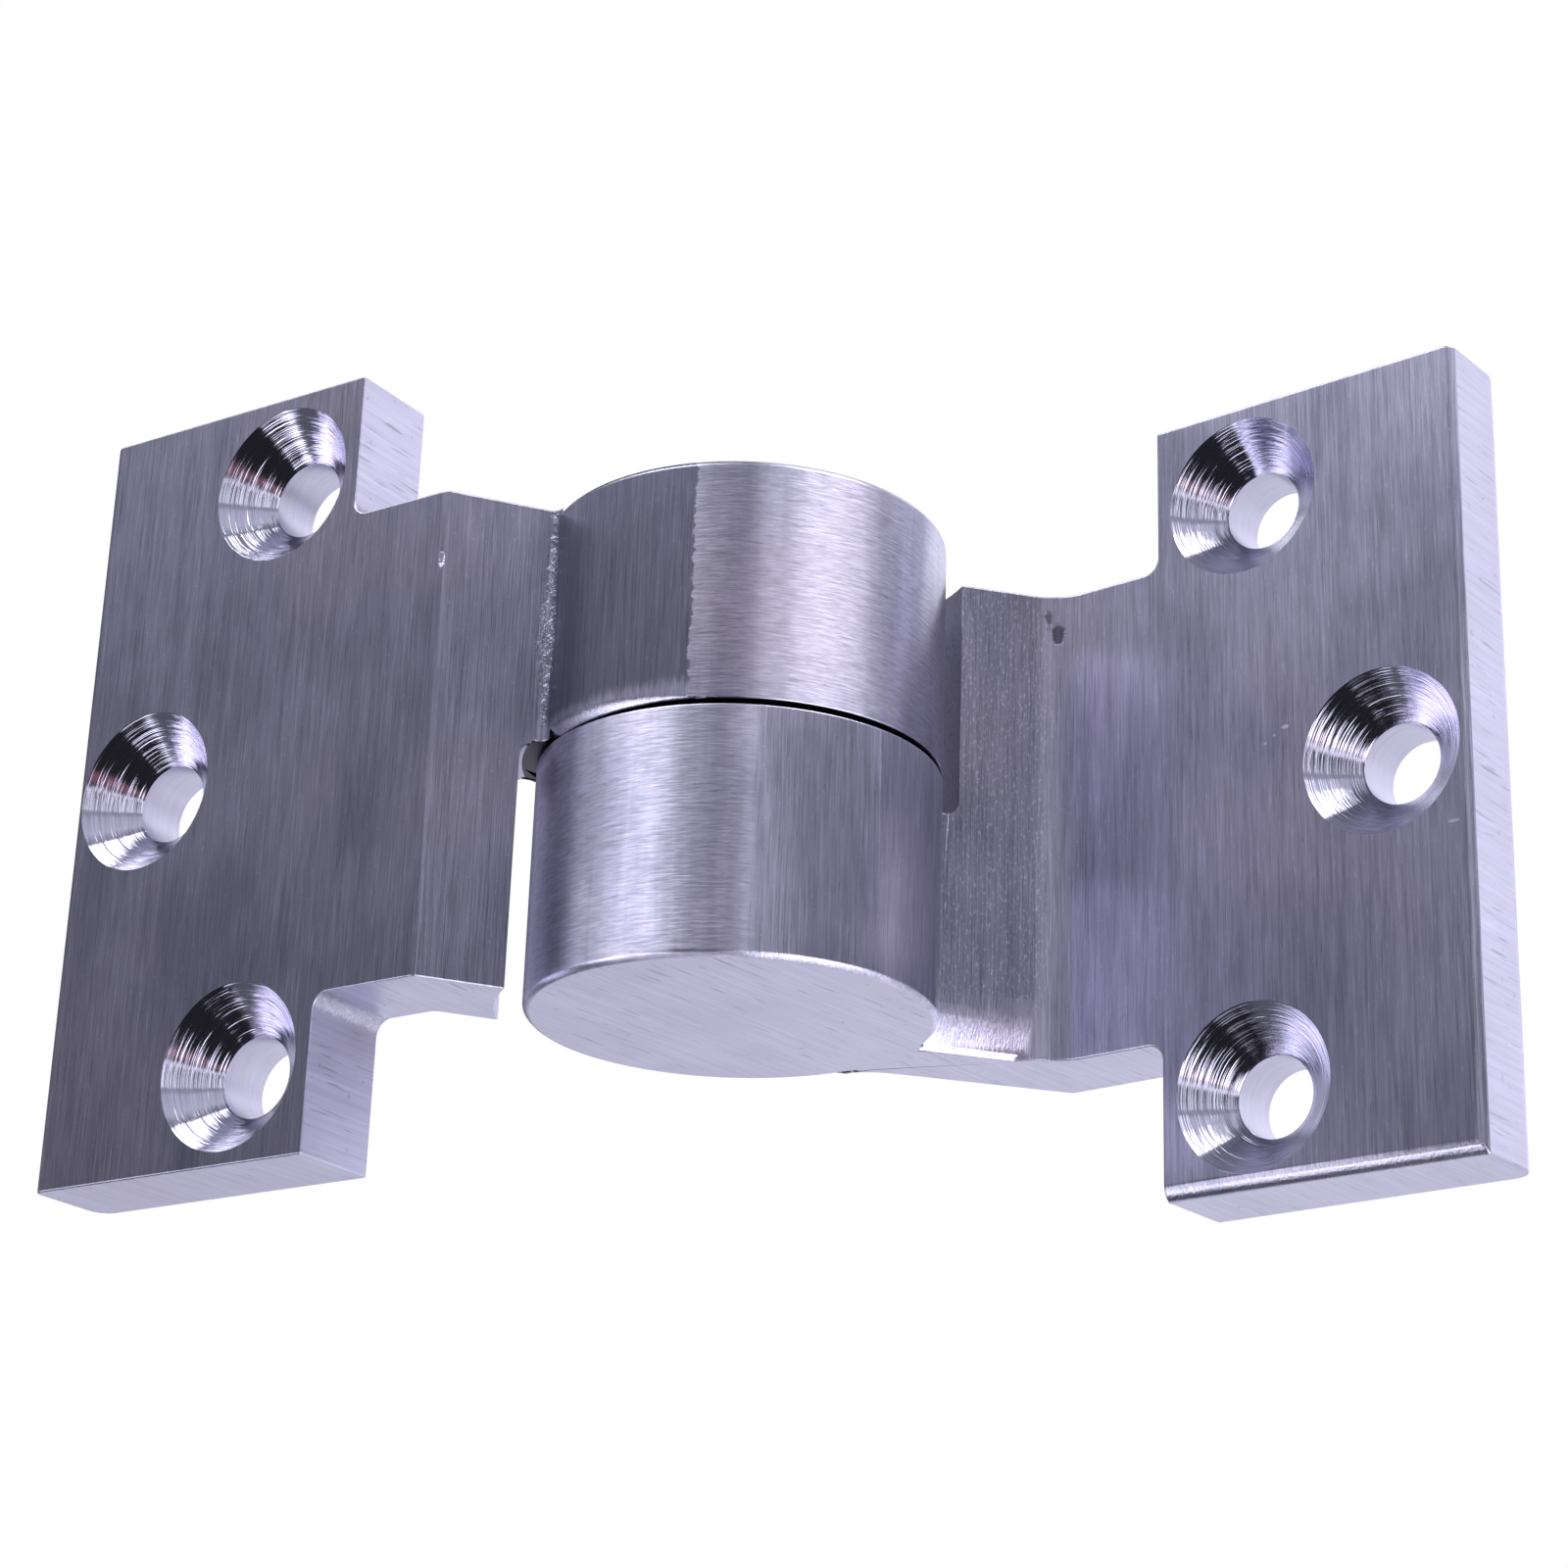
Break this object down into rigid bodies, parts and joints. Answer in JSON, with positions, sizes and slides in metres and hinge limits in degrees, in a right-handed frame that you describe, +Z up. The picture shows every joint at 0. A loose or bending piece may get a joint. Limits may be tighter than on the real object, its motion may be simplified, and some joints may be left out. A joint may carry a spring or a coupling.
{
  "type": "offset pivot hinge",
  "caption": "Heavy hinge with two thick bent plates, countersunk for screws, whose offset webs meet in a round split knuckle on a hidden pin.",
  "frame": {"origin": "on the pivot axis, midway between the upper and the lower half of the knuckle", "axes": "+Z up along the pivot axis; +X from the pivot towards the jamb plate's outer edge, parallel to that plate; +Y out of the jamb plate's back face"},
  "size_m": [0.0991, 0.0548, 0.0636],
  "materials": {
    "leaf": "brushed",
    "pin": "ground",
    "bush": "machined"
  },
  "bodies": {
    "jamb": {"jamb_leaf": "leaf", "pivot_pin": "pin", "thrust_washer": "bush"},
    "door": {"door_leaf": "leaf", "bearing_bush": "bush"}
  },
  "joints": [
    {"name": "pivot", "type": "hinge", "parent": "jamb", "child": "door", "pos_m": [0, 0, 0], "axis": [0, 0, 1], "range_deg": [-126, 174]}
  ]
}
